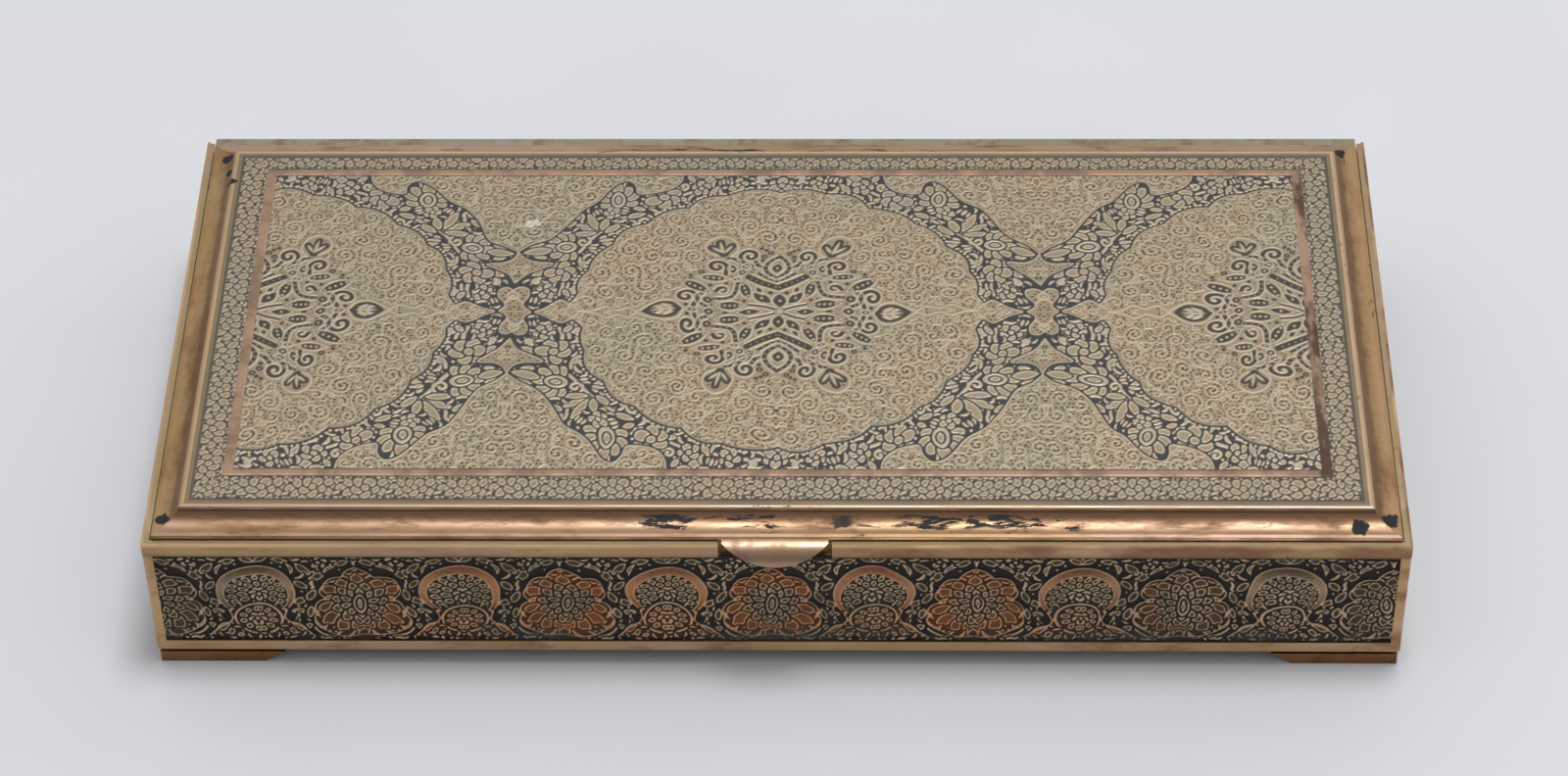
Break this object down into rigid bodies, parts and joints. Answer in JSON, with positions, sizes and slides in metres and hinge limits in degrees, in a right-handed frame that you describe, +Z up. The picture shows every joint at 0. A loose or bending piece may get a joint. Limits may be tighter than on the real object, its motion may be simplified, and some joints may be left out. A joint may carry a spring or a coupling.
{
  "type": "cigarette case",
  "caption": "Flat oblong table cigarette case of engraved metal with a hinged raised lid, half-moon thumbpiece, plain edging and bracket feet, cedar lined.",
  "frame": {"origin": "on the table under the middle of the case's outline", "axes": "+X runs along the case to the right seen from the front, +Y runs from the front with the thumbpiece to the hinge at the back, +Z is up"},
  "size_m": [0.176, 0.0866, 0.0267],
  "materials": {
    "engraved_brass": "engraved, tarnished grey brown in the ground",
    "plain_brass": "worn satin, pinkish, with black tarnish",
    "foot_brass": "worn satin, coppery",
    "sheet_brass": "dull sheet",
    "hinge_brass": "dull",
    "cedar": "unvarnished"
  },
  "bodies": {
    "case": {"base_plate": "sheet_brass", "front_wall": "engraved_brass", "back_wall": "engraved_brass", "left_wall": "engraved_brass", "right_wall": "engraved_brass", "rim_band_front_left": "plain_brass", "rim_band_front_right": "plain_brass", "rim_band_left": "plain_brass", "rim_band_right": "plain_brass", "rim_band_back": "plain_brass", "base_band_front": "plain_brass", "base_band_back": "plain_brass", "base_band_left": "plain_brass", "base_band_right": "plain_brass", "corner_strip_front_left": "plain_brass", "corner_strip_front_right": "plain_brass", "corner_strip_back_left": "plain_brass", "corner_strip_back_right": "plain_brass", "foot_front_left": "foot_brass", "foot_front_right": "foot_brass", "foot_back_left": "foot_brass", "foot_back_right": "foot_brass", "lining_floor": "cedar", "lining_front": "cedar", "lining_back": "cedar", "lining_left": "cedar", "lining_right": "cedar", "lining_divider": "cedar", "hinge_case_knuckles": "hinge_brass", "hinge_pin": "hinge_brass"},
    "lid": {"lid_top_plate": "engraved_brass", "lid_inner_plate": "sheet_brass", "lid_moulding_front": "plain_brass", "lid_moulding_right": "plain_brass", "lid_moulding_back": "plain_brass", "lid_moulding_left": "plain_brass", "thumbpiece": "plain_brass", "lid_hinge_leaf": "hinge_brass", "hinge_lid_knuckles": "hinge_brass"}
  },
  "joints": [
    {"name": "lid_hinge", "type": "hinge", "parent": "case", "child": "lid", "pos_m": [0, 0.04165, 0.023], "axis": [-1, 0, 0], "range_deg": [0, 104]}
  ]
}
